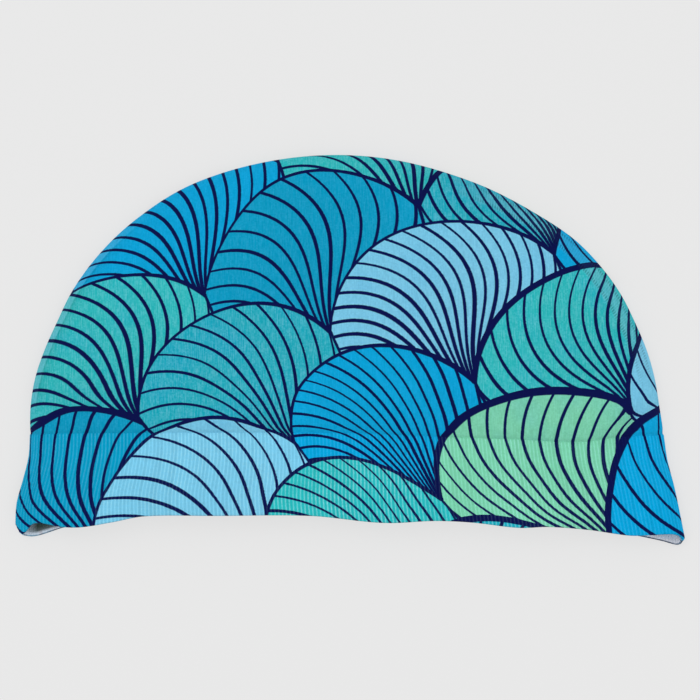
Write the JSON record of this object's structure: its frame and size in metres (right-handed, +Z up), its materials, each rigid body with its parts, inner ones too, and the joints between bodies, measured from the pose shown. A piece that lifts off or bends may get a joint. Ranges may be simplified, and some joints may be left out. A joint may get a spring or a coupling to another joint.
{
  "type": "skull cap",
  "caption": "Knit skull cap lying flat on its back: a dome-shaped two-panel jersey crown with a wide turned rib band and an open mouth.",
  "frame": {"origin": "middle of the cap's outline as it is looked down on, on the surface that it lies on", "axes": "+X across the cap to its right as it is looked down on, +Y from the open mouth to the top of the crown, +Z up out of the surface through the front"},
  "size_m": [0.2554, 0.1488, 0.0172],
  "materials": {
    "printed_jersey": "matt fine-gauge polyester jersey, printed outside in teal, azure, sky and green with navy lines, white inside",
    "printed_rib": "matt 1x1 rib of 1.4 mm pitch, two plies, printed outside to match the crown, white inside",
    "white_overlock": "matt white overlock thread over the unprinted inside of the jersey"
  },
  "bodies": {
    "root": {"crown_front": "printed_jersey", "crown_back": "printed_jersey", "crown_seam": "white_overlock", "band": "printed_rib"}
  },
  "joints": []
}
